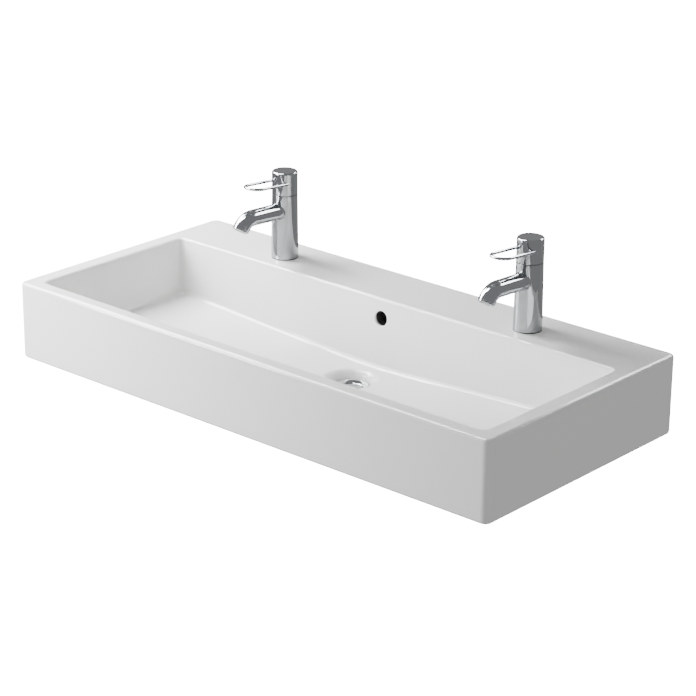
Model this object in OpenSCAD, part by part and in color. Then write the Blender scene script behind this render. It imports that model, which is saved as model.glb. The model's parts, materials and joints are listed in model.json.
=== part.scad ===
// Double washbasin: one long ceramic bowl, two single-lever mixers with loop handles, one push-open waste.
// X runs along the basin, +Y points into the wall and +Z up, in millimetres.
// The origin is on the wall plane, midway between the two wall-fixing holes.

/* [Basin] */
// Overall width
basin_w = 1000; // [900:10:1200]
// Overall depth, from the wall to the front
basin_d = 470; // [460:5:540]
// Height of the outer skirt
skirt_h = 134; // [132:1:160]
// Thickness of the skirt at the front and sides
skirt_t = 10; // [8:0.5:12]
// Thickness of the wall side
rear_t = 12; // [10:0.5:16]
// Thickness of the deck and the rims
deck_t = 12; // [10:0.5:14]
// Rounding of the outer top edge
top_edge_r = 6; // [3:0.5:7]
// Rounding of the upright outer corners
corner_r = 8; // [7.5:0.5:12]
// Rounding of the lower outer edge
foot_edge_r = 2; // [1:0.5:3]

/* [Bowl] */
// Width of the rim at each side
side_rim = 32; // [28:1:60]
// Width of the rim along the front
front_rim = 28; // [26:1:50]
// Depth of the tap deck behind the bowl
tap_deck = 120; // [116:1:140]
// Thickness of the bowl's wall
bowl_t = 10; // [8:0.5:11]
// Depth of the bowl at its two ends
end_depth = 96; // [80:1:100]
// Depth of the bowl at its middle
mid_depth = 119; // [105:1:121]
// How far each bowl wall leans in between the lip and the floor
bowl_draft = 11; // [6:1:16]
// Radius of the bowl's upright corners and of the edge round its floor
bowl_r = 10; // [8:1:20]
// Rounding of the bowl's lip
lip_r = 5; // [3:0.5:6]

/* [Drain] */
// Distance from the wall to the drain
drain_back = 197; // [190:1:230]
// Radius of the drain hole
drain_hole_r = 23; // [23:0.5:25]
// Radius of the flat seat under the flange
seat_r = 34; // [33:0.5:38]
// Depth of the seat below the middle of the bowl's floor
seat_drop = 17; // [8:0.5:18]
// How far the dish round the seat widens for each millimetre up
dish_flare = 0.5; // [0.3:0.1:0.8]
// Ceramic above and below the overflow chamber
chamber_t = 10; // [8:0.5:12]
// Height of the overflow chamber round the waste
chamber_h = 12; // [10:0.5:16]
// Radius of the overflow chamber
chamber_r = 34; // [30:0.5:36]

/* [Overflow] */
// Radius of the overflow hole
overflow_r = 12.5; // [10:0.5:14]
// Depth of its centre below the deck
overflow_depth = 34.5; // [30:0.5:45]
// Inner width of the overflow duct
duct_w = 26; // [20:1:34]
// Inner depth of the overflow duct, front to back
duct_d = 16; // [12:1:20]
// Wall of the overflow duct
duct_t = 8; // [6:0.5:10]

/* [Wall fixing] */
// Distance between the two wall-fixing holes
fix_spacing = 280; // [200:10:360]
// Depth of the holes below the deck
fix_drop = 84; // [60:1:95]
// Radius of each hole
fix_r = 7; // [6:0.5:8]
// Radius of the boss round each hole
fix_boss_r = 20; // [16:1:24]
// Ceramic at each hole, wall and boss together
fix_boss_t = 24; // [20:1:30]

/* [Mixer] */
// Distance between the two mixers
mixer_spacing = 526; // [440:2:640]
// Distance from the wall to the mixers' axes
mixer_back = 72; // [66:1:80]
// Radius of the tap holes in the deck
tap_hole_r = 17.5; // [17:0.5:18]
// Radius of the mixer at its foot
base_r = 23.7; // [23:0.1:25]
// Radius of the mixer at the joint under the cap, and of the cap
neck_r = 22.2; // [21.8:0.1:22.8]
// Thickness of the seal under the mixer
seal_t = 1; // [0.5:0.1:2]
// Height of the lever's pivot above the deck
pivot_h = 108; // [95:1:140]
// Height of the joint between body and cap, above the pivot
joint_rise = 6; // [5:0.5:7]
// Height of the mixer's top above the pivot
cap_rise = 47; // [44:1:56]
// Rounding of the cap's top edge
cap_edge_r = 3; // [1.5:0.5:4]
// Gap between the ball-shaped faces of cap and body
ball_gap = 0.3; // [0.2:0.05:0.4]

/* [Spout] */
// Radius of the spout tube
spout_r = 14.2; // [13.8:0.1:15]
// How far below the pivot the spout's axis meets the mixer's axis
spout_drop = 23.4; // [22:0.1:26]
// Upward slope of the spout, in degrees
spout_rise = 3; // [2:0.5:8]
// Length of the straight part, from the mixer's axis
spout_len = 82; // [70:1:110]
// Radius of the bend, on the tube's axis
bend_r = 29; // [24:1:34]
// Angle of the bend
bend_turn = 59; // [45:1:70]
// Straight end after the bend
spout_end = 2; // [1.5:0.1:8]
// Radius of the flare where the spout leaves the body
flare_r = 15.8; // [15.2:0.1:17]
// Radius of the water channel in the spout
spout_bore_r = 9; // [8:0.5:9.5]

/* [Lever] */
// Radius of the loop's rod
rod_r = 2.6; // [2:0.1:3]
// Half the distance between the loop's two arms
loop_half = 17.5; // [15:0.5:18]
// Distance from the mixer's axis to the centre of the loop's round end
loop_reach = 72.5; // [60:0.5:95]
// Height above the pivot at which the loop's plane meets the mixer's axis
loop_lift = 27; // [26:0.5:32]
// Upward slope of the loop, in degrees
loop_rise = 4.5; // [0:0.5:10]
// Wall of the cap
cap_t = 2.6; // [2.4:0.1:3]
// Thickness of the cap's top
cap_top_t = 9; // [8:0.5:10]
// Width and depth of the lever stem's square bar
stem_w = 6; // [5:0.1:6.2]
// Radius of the grub screw that holds the cap
grub_r = 2.5; // [2:0.1:3]

/* [Cartridge] */
// Radius of the cartridge
cart_r = 17.5; // [17:0.1:17.8]
// Inner radius of the cartridge housing
cart_bore_r = 14.5; // [14.4:0.1:14.8]
// Depth of the pocket's floor below the pivot
pocket_drop = 20; // [19.6:0.1:20.5]
// Thickness of the port seals
port_seal_t = 0.6; // [0.4:0.1:0.8]
// Thickness of the cartridge base
cart_base_t = 3.4; // [3:0.1:3.6]
// Thickness of the fixed disc
fixed_disc_t = 3.5; // [3:0.1:3.6]
// Thickness of the moving disc
moving_disc_t = 2.4; // [2:0.1:2.6]
// Radius of the moving disc
moving_disc_r = 10.5; // [9.5:0.1:11]
// Radius of the stem's ball, which drives the disc
drive_ball_r = 2.1; // [1.9:0.1:2.2]
// Radius of the pivot pin
pin_r = 1.5; // [1.2:0.1:1.8]
// Radial running clearance of the turning parts
run_gap = 0.08; // [0.03:0.01:0.1]
// Radius of each water port
port_r = 3.5; // [3:0.1:3.8]
// Half the distance between the two inlets
inlet_x = 8; // [7.5:0.1:8.4]
// Distance of the inlets behind the mixer's axis
inlet_y = 5; // [4.5:0.1:5.5]
// Distance of the outlet port in front of the axis
outlet_y = 9; // [8:0.1:9.6]

/* [Mixer fixing] */
// Radius of the tapped inlet holes under the mixer
inlet_tap_r = 4.55; // [4:0.05:5]
// Depth of the tapped inlet holes
inlet_tap_l = 12; // [10:1:16]
// Radius of the fixing stud
stud_r = 4; // [3:0.5:4]
// Distance of the stud in front of the mixer's axis
stud_y = 10; // [9.5:0.5:11]
// Length of the stud inside the body
stud_grip = 14; // [10:1:20]
// Length of the stud below the deck's underside
stud_l = 50; // [40:1:60]
// Radius of the horseshoe clamp plate
clamp_r = 24; // [22:0.5:26]
// Half the width of the opening for the hoses
clamp_slot = 13; // [12:0.5:14]
// Thickness of the clamp plate and of its gasket
clamp_t = 3; // [2:0.5:4]
// Width of the clamp nut across its flats
nut_w = 13; // [12:0.5:14]
// Height of the clamp nut
nut_h = 10; // [6:1:16]

/* [Aerator] */
// Length of the aerator housing that shows
aerator_l = 3; // [2.5:0.5:6]
// Radius of the aerator housing
aerator_r = 13.6; // [13:0.1:13.8]
// Radius of the aerator's thread in the spout
aerator_thread_r = 12; // [11.5:0.1:12.4]
// Radius of the aerator insert
insert_r = 10.4; // [9.5:0.1:10.8]
// Radius of each jet hole
jet_r = 0.8; // [0.6:0.05:1]
// Distance between neighbouring jet holes
jet_pitch = 3; // [2.6:0.1:3.4]

/* [Waste] */
// Radius of the flange
flange_r = 32; // [31:0.5:32.5]
// Thickness of the flange at its edge
flange_t = 2.5; // [2:0.1:3]
// Radius of the threaded tube, for a G 1 1/4 trap
tail_r = 20.95; // [20.5:0.05:21.2]
// Inner radius of the tube
waste_bore_r = 17; // [16.5:0.1:17.5]
// Length of free thread at the tube's end
tail_l = 27; // [20:1:45]
// Radius of the neck under the flange
neck_waste_r = 22.8; // [22.2:0.1:22.8]
// Radius of the plug
plug_r = 20; // [19:0.1:20]
// Thickness of the plug's edge
plug_t = 2; // [1.5:0.1:2.5]
// Rise of the plug's dome
plug_dome = 3; // [2:0.5:4]
// Thickness of the seal under the flange
upper_seal_t = 1.5; // [1:0.1:2]
// Thickness of the lower gasket
gasket_t = 4; // [3:0.5:6]
// Thickness of the washer
washer_t = 2; // [1:0.5:3]
// Height of the backnut
backnut_h = 10; // [8:1:14]
// Outer radius of the backnut
backnut_r = 29; // [27:0.5:31]
// Radius of the plug's stem
plug_stem_r = 4; // [3.5:0.1:4.2]
// Travel of the plug
plug_travel = 8; // [6:0.5:9]
// Outer radius of the click sleeve
sleeve_r = 8.2; // [7.8:0.1:8.6]

/* [Hidden] */
$fn = 64;

// How far a cut runs past the face that it opens
over = 1;
// Side clearance where one fixed piece slips into another
slip = 0.05;
// Facets round each corner of the two bowl forms
bowl_fn = 32;
// How far a straight tube runs into its bend, and how much wider it is, so that the two join cleanly
lap = 0.3;
tube_step = 0.1;
rod_step = 0.04;

glaze = [0.95, 0.95, 0.94];
chrome = [0.78, 0.79, 0.8];
brass = [0.78, 0.66, 0.36];
steel = [0.62, 0.63, 0.65];
rubber = [0.12, 0.12, 0.13];
grey_plastic = [0.55, 0.57, 0.6];
white_plastic = [0.9, 0.9, 0.88];
disc_ceramic = [0.86, 0.84, 0.8];

// Heights in the basin's frame
deck_z = fix_drop;
foot_z = deck_z - skirt_h;
seat_z = deck_z - mid_depth - seat_drop;
seat_depth = 2 * chamber_t + chamber_h;

// Bowl opening at the deck
bowl_half = basin_w / 2 - side_rim;
bowl_front_y = -basin_d + front_rim;
bowl_back_y = -tap_deck;

// Heights in a mixer, above the deck
joint_h = pivot_h + joint_rise;
mixer_h = pivot_h + cap_rise;
spout_h = pivot_h - spout_drop;
loop_h = pivot_h + loop_lift;
pocket_h = pivot_h - pocket_drop;

// Ball joint under the cap
nut_gap = 0.2;
ball_r = norm([neck_r, joint_rise]);
cap_ball_r = ball_r + ball_gap;
cap_bore_r = neck_r - cap_t;

// Aerator
aerator_thread_l = 7;
aerator_seam = 0.4;
insert_recess = 0.8;

// Cartridge, from its floor up, above the deck
ports = [[-inlet_x, inlet_y], [inlet_x, inlet_y], [0, -outlet_y]];
disc_port_scale = 0.68;
disc_port_r = 2.4;
cart_base_h = pocket_h + port_seal_t;
fixed_disc_h = cart_base_h + cart_base_t;
disc_gap = 0.05;
moving_disc_h = fixed_disc_h + fixed_disc_t + disc_gap;
disc_carrier_h = moving_disc_h + moving_disc_t;
disc_carrier_t = 4;
disc_carrier_top = disc_carrier_h + disc_carrier_t;
disc_carrier_r = moving_disc_r + 1;
drive_pocket_floor = 0.8;
drive_floor_gap = 0.35;
drive_side_gap = 0.15;
ball_drop = pivot_h - disc_carrier_h - drive_pocket_floor - drive_floor_gap - drive_ball_r;
carrier_h = disc_carrier_top + 0.3;
housing_rise = 9;
housing_top_h = pivot_h + housing_rise;
housing_lid_t = 2.1;
housing_mouth_r = 10;
carrier_top_h = housing_top_h - housing_lid_t - 0.1;
collar_h = housing_top_h + 1;
nut_thread_r = cart_r + 0.9;
nut_bore_r = 13;
pocket_slip = 0.1;

// Lever stem, and the slot in the carrier that it rocks in
eye_half = 4;
slot_side = 0.1;
slot_gap = 0.4;
slot_back = 3.2;
slot_front = 1;
socket_rise = 24;
socket_bottom_h = pivot_h + socket_rise;
socket_boss_r = 8;
socket_slip = 0.05;
cavity_top_h = mixer_h - cap_top_t;
stem_top_h = cavity_top_h - 0.2;
grub_h = (socket_bottom_h + cavity_top_h) / 2;
grub_hole_r = grub_r + 0.6;

// Spout path, as distances forward and up from the foot of the mixer's axis
bend_start = [spout_len * cos(spout_rise), spout_h + spout_len * sin(spout_rise)];
bend_centre = bend_start + bend_r * [sin(spout_rise), -cos(spout_rise)];
end_angle = 90 + spout_rise - bend_turn;
bend_end = bend_centre + bend_r * [cos(end_angle), sin(end_angle)];
outlet_face = bend_end + spout_end * [sin(end_angle), -cos(end_angle)];
spout_bore_start = 50;
feed_r = 6;
feed_wall = 5;
feed_start = [5, pocket_h - feed_r - feed_wall];
feed_end = [spout_bore_start + feed_r, spout_h + (spout_bore_start + feed_r) * tan(spout_rise)];
feed_turn = atan2(feed_end[1] - feed_start[1], feed_end[0] - feed_start[0]);

// Waste, above the seat in the bowl
flange_z = upper_seal_t;
flange_top = flange_z + flange_t;
recess_r = plug_r + 0.6;
cone_t = 3.2;
ledge_z = -3.5;
plug_z = ledge_z + 1.5;
neck_l = 5;
thread_split = -seat_depth - gasket_t - washer_t - backnut_h - 1;
relief_l = 3;
relief_r = tail_r - 1;
tail_end = thread_split - relief_l - tail_l;
hub_top = -34;
hub_h = 10;
hub_r = sleeve_r + 2.3;
sleeve_top = -12;
sleeve_bottom = -46;
sleeve_neck_t = 4;
sleeve_bore_r = sleeve_r - 1.6;
piston_z = -30;
piston_t = 3;

// Section of a slab with rounded upper and lower edges
module slab_section(w, h, upper, lower) {
    translate([-w / 2 + upper, lower]) square([w - 2 * upper, h - lower]);
    translate([-w / 2, lower]) square([w, h - upper - lower]);
    translate([-w / 2 + lower, 0]) square([w - 2 * lower, h - upper]);
    for (side = [-1, 1]) {
        translate([side * (w / 2 - upper), h - upper]) circle(upper);
        translate([side * (w / 2 - lower), lower]) circle(lower);
    }
}

// Block with rounded upright corners and rounded upper and lower edges, its foot centred on the origin
module soft_block(w, d, h, corner, upper, lower) {
    translate([-w / 2 + corner, 0, 0])
        rotate([90, 0, 90]) linear_extrude(w - 2 * corner) slab_section(d, h, upper, lower);
    translate([0, d / 2 - corner, 0])
        rotate([90, 0, 0]) linear_extrude(d - 2 * corner) slab_section(w, h, upper, lower);
    for (x = [-1, 1], y = [-1, 1])
        translate([x * (w / 2 - corner), y * (d / 2 - corner), 0])
            rotate_extrude() intersection() {
                slab_section(2 * corner, h, upper, lower);
                square([corner, h]);
            }
}

// The bowl's hollow, or with grow above 0 the outside of its wall; upright between the heights post and top
module bowl_form(grow, post, top) {
    reach_x = bowl_half - bowl_r;
    front = bowl_front_y + bowl_r;
    back = bowl_back_y - bowl_r;
    hull() {
        for (x = [-reach_x, reach_x], y = [front, back])
            translate([x, y, post]) cylinder(r = bowl_r + grow, h = top - post, $fn = bowl_fn);
        for (x = [-reach_x + bowl_draft, reach_x - bowl_draft], y = [front + bowl_draft, back - bowl_draft])
            translate([x, y, deck_z - end_depth + bowl_r]) sphere(bowl_r + grow, $fn = bowl_fn);
        for (y = [front + bowl_draft, back - bowl_draft])
            translate([0, y, deck_z - mid_depth + bowl_r]) sphere(bowl_r + grow, $fn = bowl_fn);
    }
}

// What the rounded lip removes, seen in section: x is the distance outwards from the bowl's edge
module lip_section() {
    difference() {
        translate([-over, -lip_r]) square([lip_r + over, lip_r + over]);
        translate([lip_r, -lip_r]) circle(lip_r);
    }
}

module bowl_lip() {
    long = 2 * (bowl_half - bowl_r);
    deep = bowl_back_y - bowl_front_y - 2 * bowl_r;
    middle_y = (bowl_back_y + bowl_front_y) / 2;
    translate([0, middle_y, deck_z]) for (side = [0, 180]) rotate(side) {
        translate([-long / 2, deep / 2 + bowl_r, 0])
            rotate([90, 0, 90]) linear_extrude(long) lip_section();
        translate([long / 2 + bowl_r, deep / 2, 0])
            rotate([90, 0, 0]) linear_extrude(deep) lip_section();
        translate([long / 2, deep / 2, 0])
            rotate_extrude(angle = 90) translate([bowl_r, 0]) lip_section();
        translate([-long / 2, deep / 2, 0])
            rotate(90) rotate_extrude(angle = 90) translate([bowl_r, 0]) lip_section();
    }
}

// Outside of the duct that leads from the overflow hole to the chamber round the waste
module duct_outside() {
    half = duct_w / 2 + duct_t;
    back = bowl_back_y + bowl_t + duct_t / 4 + duct_d + duct_t;
    bottom = seat_z - seat_depth;
    translate([-half, bowl_back_y + over, bottom])
        cube([2 * half, back - bowl_back_y - over, deck_z - deck_t / 2 - bottom]);
    translate([-half, -drain_back, bottom])
        cube([2 * half, drain_back + back, seat_z - bottom]);
}

module duct_inside() {
    front = bowl_back_y + bowl_t + duct_t / 4;
    floor_z = seat_z - chamber_t - chamber_h;
    top = deck_z - overflow_depth + overflow_r + duct_t / 4;
    translate([-duct_w / 2, front, floor_z]) cube([duct_w, duct_d, top - floor_z]);
    translate([-duct_w / 2, -drain_back, floor_z]) cube([duct_w, drain_back + front + duct_d, chamber_h]);
    translate([0, front + duct_d / 2, deck_z - overflow_depth])
        rotate([90, 0, 0]) cylinder(r = overflow_r, h = duct_d / 2 + bowl_t + bowl_draft + bowl_r);
}

module basin() {
    color(glaze) difference() {
        union() {
            difference() {
                translate([0, -basin_d / 2, foot_z])
                    soft_block(basin_w, basin_d, skirt_h, corner_r, top_edge_r, foot_edge_r);
                translate([-basin_w / 2 + skirt_t, -basin_d + skirt_t, foot_z - over])
                    cube([basin_w - 2 * skirt_t, basin_d - skirt_t - rear_t, skirt_h - deck_t + over]);
            }
            bowl_form(bowl_t, deck_z - deck_t, deck_z - deck_t / 2);
            for (x = [-1, 1])
                translate([x * fix_spacing / 2, -rear_t / 2, 0])
                    rotate([90, 0, 0]) cylinder(r = fix_boss_r, h = fix_boss_t - rear_t / 2);
            translate([0, -drain_back, seat_z]) {
                translate([0, 0, -seat_depth]) cylinder(r = chamber_r + chamber_t, h = seat_depth);
                cylinder(r1 = chamber_r + chamber_t, r2 = seat_r + seat_drop * dish_flare + bowl_t, h = seat_drop);
            }
            duct_outside();
        }
        bowl_form(0, deck_z - lip_r, deck_z + over);
        bowl_lip();
        duct_inside();
        translate([0, -drain_back, seat_z]) {
            cylinder(r1 = seat_r, r2 = seat_r + 2 * seat_drop * dish_flare, h = 2 * seat_drop);
            translate([0, 0, -seat_depth - over]) cylinder(r = drain_hole_r, h = seat_depth + 2 * over);
            translate([0, 0, -chamber_t - chamber_h]) cylinder(r = chamber_r, h = chamber_h);
        }
        for (x = [-1, 1]) {
            translate([x * mixer_spacing / 2, -mixer_back, deck_z - deck_t - over])
                cylinder(r = tap_hole_r, h = deck_t + 2 * over);
            translate([x * fix_spacing / 2, over, 0])
                rotate([90, 0, 0]) cylinder(r = fix_r, h = fix_boss_t + 2 * over);
        }
    }
}

// Places a mixer's piece: side is -1 for the left mixer and 1 for the right one
module at_mixer(side) {
    translate([side * mixer_spacing / 2, -mixer_back, deck_z]) children();
}

// Turns local X forwards and local Y upwards, for what lies in the spout's plane
module spout_plane() {
    rotate([90, 0, -90]) children();
}

// A tube of radius r along the spout, from the distance start to the end face
module spout_tube(r, start, past) {
    spout_plane() {
        translate([0, spout_h]) rotate([0, 0, spout_rise]) rotate([0, 90, 0])
            translate([0, 0, start]) cylinder(r = r + tube_step, h = spout_len - start + lap);
        translate(bend_centre) rotate([0, 0, end_angle])
            rotate_extrude(angle = bend_turn) translate([bend_r, 0]) circle(r);
        translate(bend_end) rotate([0, 0, end_angle - 90]) rotate([0, 90, 0])
            translate([0, 0, -lap]) cylinder(r = r + tube_step, h = spout_end + past + lap);
    }
}

// Puts the origin on the spout's end face, with +Z along the outflow
module at_outlet() {
    spout_plane() translate(outlet_face) rotate([0, 0, end_angle - 90]) rotate([0, 90, 0]) children();
}

module mixer_body() {
    color(chrome) difference() {
        union() {
            rotate_extrude() intersection() {
                polygon([[0, seal_t], [base_r, seal_t], [neck_r, joint_h], [neck_r, mixer_h], [0, mixer_h]]);
                union() {
                    square([base_r + over, pivot_h]);
                    translate([0, pivot_h]) intersection() {
                        circle(ball_r);
                        translate([0, -over]) square([ball_r, ball_r + over]);
                    }
                }
            }
            spout_tube(spout_r, 0, 0);
            spout_plane() translate([0, spout_h]) rotate([0, 0, spout_rise]) rotate([0, 90, 0])
                translate([0, 0, neck_r - 3]) cylinder(r1 = flare_r, r2 = spout_r, h = 8);
        }
        translate([0, 0, pocket_h]) cylinder(r = cart_r + pocket_slip, h = mixer_h);
        translate([0, 0, housing_top_h - housing_lid_t]) cylinder(r = nut_thread_r, h = mixer_h);
        for (x = [-1, 1]) translate([x * inlet_x, inlet_y, 0]) {
            cylinder(r = port_r, h = pocket_h + over);
            cylinder(r = inlet_tap_r, h = seal_t + inlet_tap_l);
        }
        translate([0, -outlet_y, feed_start[1]]) cylinder(r = port_r, h = pocket_h - feed_start[1] + over);
        translate([0, -stud_y, 0]) cylinder(r = stud_r + slip, h = seal_t + stud_grip);
        spout_plane() translate(feed_start) rotate([0, 0, feed_turn]) rotate([0, 90, 0])
            cylinder(r = feed_r, h = norm(feed_end - feed_start));
        spout_tube(spout_bore_r, spout_bore_start, over);
        at_outlet() translate([0, 0, -aerator_thread_l]) cylinder(r = aerator_thread_r, h = aerator_thread_l + over);
    }
}

module base_seal() {
    color(rubber) difference() {
        cylinder(r = base_r - 0.4, h = seal_t);
        translate([0, 0, -over]) cylinder(r = tap_hole_r, h = seal_t + 2 * over);
    }
}

module stud() {
    color(steel) translate([0, -stud_y, -deck_t - stud_l])
        cylinder(r = stud_r, h = stud_l + deck_t + seal_t + stud_grip);
}

// Horseshoe below the deck, open at the back for the two hoses
module horseshoe(z, t) {
    translate([0, 0, z]) difference() {
        cylinder(r = clamp_r, h = t);
        translate([-clamp_slot, -stud_y + stud_r + 3, -over]) cube([2 * clamp_slot, 2 * clamp_r, t + 2 * over]);
        translate([0, -stud_y, -over]) cylinder(r = stud_r + slip, h = t + 2 * over);
    }
}

module clamp_gasket() {
    color(rubber) horseshoe(-deck_t - clamp_t, clamp_t);
}

module clamp_plate() {
    color(steel) horseshoe(-deck_t - 2 * clamp_t, clamp_t);
}

module clamp_nut() {
    color(brass) translate([0, -stud_y, -deck_t - 2 * clamp_t - nut_h]) difference() {
        cylinder(r = nut_w / 2 / cos(30), h = nut_h, $fn = 6);
        translate([0, 0, -over]) cylinder(r = stud_r + slip, h = nut_h + 2 * over);
    }
}

module aerator_housing() {
    color(chrome) at_outlet() difference() {
        union() {
            translate([0, 0, aerator_seam]) cylinder(r = aerator_r, h = aerator_l - aerator_seam);
            translate([0, 0, -aerator_thread_l]) cylinder(r = aerator_thread_r - slip, h = aerator_thread_l + aerator_l / 2);
        }
        translate([0, 0, -aerator_thread_l - over]) cylinder(r = insert_r + slip, h = aerator_thread_l + aerator_l + 2 * over);
    }
}

module aerator_insert() {
    color(grey_plastic) at_outlet() translate([0, 0, -aerator_thread_l]) difference() {
        cylinder(r = insert_r, h = aerator_thread_l + aerator_l - insert_recess);
        for (row = [-2:2], column = [-2:2])
            let (x = jet_pitch * (column + row / 2), y = jet_pitch * row * sin(60))
                if (norm([x, y]) < insert_r - 2 * jet_r)
                    translate([x, y, -over]) cylinder(r = jet_r, h = aerator_thread_l + aerator_l + 2 * over);
    }
}

// Three rings, one round each port of the cartridge
module port_seals() {
    color(rubber) for (at = ports)
        translate([at[0], at[1], pocket_h]) difference() {
            cylinder(r = port_r + 1, h = port_seal_t);
            translate([0, 0, -over]) cylinder(r = port_r, h = port_seal_t + 2 * over);
        }
}

// The ports of the discs lie nearer the middle than those of the body
module disc_ports(z, h) {
    for (at = disc_port_scale * ports) translate([at[0], at[1], z]) cylinder(r = disc_port_r, h = h);
}

module cartridge_base() {
    half_h = (fixed_disc_h - cart_base_h) / 2;
    color(grey_plastic) difference() {
        translate([0, 0, cart_base_h]) cylinder(r = cart_r, h = 2 * half_h);
        for (at = ports) translate([at[0], at[1], cart_base_h - over]) cylinder(r = port_r - 0.5, h = half_h + over);
        disc_ports(cart_base_h + half_h - over / 2, half_h + 2 * over);
    }
}

module fixed_disc() {
    color(disc_ceramic) difference() {
        translate([0, 0, fixed_disc_h]) cylinder(r = cart_bore_r - 2 * pocket_slip, h = fixed_disc_t);
        disc_ports(fixed_disc_h - over, fixed_disc_t + 2 * over);
    }
}

module cartridge_housing() {
    color(white_plastic) difference() {
        translate([0, 0, fixed_disc_h]) cylinder(r = cart_r, h = housing_top_h - fixed_disc_h);
        translate([0, 0, fixed_disc_h - over])
            cylinder(r = cart_bore_r, h = housing_top_h - housing_lid_t - fixed_disc_h + over);
        cylinder(r = housing_mouth_r, h = housing_top_h + over);
    }
}

// The nut's top follows the ball under the cap
module retaining_nut() {
    color(brass) difference() {
        rotate_extrude() intersection() {
            translate([nut_bore_r, housing_top_h]) square([nut_thread_r - slip - nut_bore_r, mixer_h]);
            translate([0, pivot_h]) circle(ball_r - nut_gap);
        }
        for (turn = [0:60:300])
            rotate(turn) translate([nut_bore_r, 0, housing_top_h + 4]) cylinder(r = 1.5, h = mixer_h);
    }
}

// Slot in which the stem rocks, cut through the turning carrier
module stem_slot() {
    half = stem_w / 2 + slot_side;
    translate([-half, -eye_half - slot_gap, pivot_h])
        cube([2 * half, 2 * eye_half + slot_gap + slot_back, mixer_h]);
    translate([-half, -eye_half - slot_gap - slot_front, pivot_h - mixer_h])
        cube([2 * half, 2 * (eye_half + slot_gap) + slot_front, mixer_h]);
}

module carrier() {
    color(white_plastic) difference() {
        union() {
            translate([0, 0, carrier_h]) cylinder(r = cart_bore_r - run_gap, h = carrier_top_h - carrier_h);
            translate([0, 0, carrier_h]) cylinder(r = housing_mouth_r - run_gap, h = collar_h - carrier_h);
        }
        stem_slot();
        translate([-cart_r, 0, pivot_h]) rotate([0, 90, 0]) cylinder(r = pin_r, h = 2 * cart_r);
    }
}

module pivot_pin() {
    half = cart_bore_r - run_gap - 2;
    color(steel) translate([-half, 0, pivot_h]) rotate([0, 90, 0]) cylinder(r = pin_r, h = 2 * half);
}

// Its T-shaped hollow starts just behind the inlets and reaches forward between them to the outlet
module moving_disc() {
    bar_y = disc_port_scale * inlet_y + disc_port_r + 0.5;
    color(disc_ceramic) translate([0, 0, moving_disc_h]) difference() {
        cylinder(r = moving_disc_r, h = moving_disc_t);
        translate([-inlet_x * disc_port_scale - 1, bar_y, -over])
            cube([2 * inlet_x * disc_port_scale + 2, 2, moving_disc_t / 2 + over]);
        translate([-2, -disc_port_scale * outlet_y, -over])
            cube([4, disc_port_scale * outlet_y + bar_y + 1, moving_disc_t / 2 + over]);
    }
}

module disc_carrier() {
    half = drive_ball_r + drive_side_gap;
    color(grey_plastic) difference() {
        translate([0, 0, disc_carrier_h])
            cylinder(r = disc_carrier_r, h = disc_carrier_top - disc_carrier_h);
        translate([-half, -half, disc_carrier_h + drive_pocket_floor])
            cube([2 * half, 2 * half, disc_carrier_top]);
    }
}

module stem() {
    color(steel) difference() {
        union() {
            translate([-stem_w / 2, -stem_w / 2, pivot_h]) cube([stem_w, stem_w, stem_top_h - pivot_h]);
            translate([-stem_w / 2, -eye_half, pivot_h - eye_half]) cube([stem_w, 2 * eye_half, 2 * eye_half]);
            translate([0, 0, pivot_h - ball_drop]) {
                sphere(drive_ball_r);
                cylinder(r = drive_ball_r - 0.3, h = ball_drop - eye_half + over);
            }
        }
        translate([-stem_w, 0, pivot_h]) rotate([0, 90, 0]) cylinder(r = pin_r + run_gap, h = 2 * stem_w);
    }
}

// Outside of the cap in section, with its rounded top edge
module cap_section() {
    translate([0, pivot_h]) {
        square([neck_r - cap_edge_r, mixer_h - pivot_h]);
        square([neck_r, mixer_h - pivot_h - cap_edge_r]);
    }
    translate([neck_r - cap_edge_r, mixer_h - cap_edge_r]) circle(cap_edge_r);
}

module cap() {
    half = stem_w / 2 + socket_slip;
    color(chrome) difference() {
        rotate_extrude() difference() {
            cap_section();
            difference() {
                square([cap_bore_r, cavity_top_h]);
                translate([0, socket_bottom_h]) square([socket_boss_r, mixer_h]);
            }
            translate([0, pivot_h]) intersection() {
                circle(cap_ball_r);
                translate([0, -over]) square([cap_ball_r, cap_ball_r + over]);
            }
        }
        translate([-half, -half, pivot_h]) cube([2 * half, 2 * half, cavity_top_h - pivot_h]);
        loop_arms(rod_r + rod_step + slip, 0);
        translate([0, 0, grub_h]) rotate([-90, 0, 0]) cylinder(r = grub_r + slip, h = cap_bore_r);
        translate([0, socket_boss_r + over, grub_h]) rotate([-90, 0, 0]) cylinder(r = grub_hole_r, h = neck_r);
    }
}

// The loop's two arms, from the distance start in front of the axis to just inside its round end
module loop_arms(r, start) {
    translate([0, 0, loop_h]) rotate([-loop_rise, 0, 0])
        for (x = [-loop_half, loop_half])
            translate([x, -start, 0]) rotate([90, 0, 0]) cylinder(r = r, h = loop_reach - start + lap);
}

module loop_handle() {
    inside = sqrt(pow(cap_bore_r, 2) - pow(loop_half, 2)) - 2;
    color(chrome) {
        loop_arms(rod_r + rod_step, inside);
        translate([0, 0, loop_h]) rotate([-loop_rise, 0, 0]) translate([0, -loop_reach, 0])
            rotate(180) rotate_extrude(angle = 180) translate([loop_half, 0]) circle(rod_r);
    }
}

module grub_screw() {
    start = stem_w / 2 + socket_slip;
    color(steel) translate([0, start, grub_h]) rotate([-90, 0, 0]) difference() {
        cylinder(r = grub_r, h = socket_boss_r - start);
        translate([0, 0, socket_boss_r - start - 2]) cylinder(r = grub_r / 2, h = 3, $fn = 6);
    }
}

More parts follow.
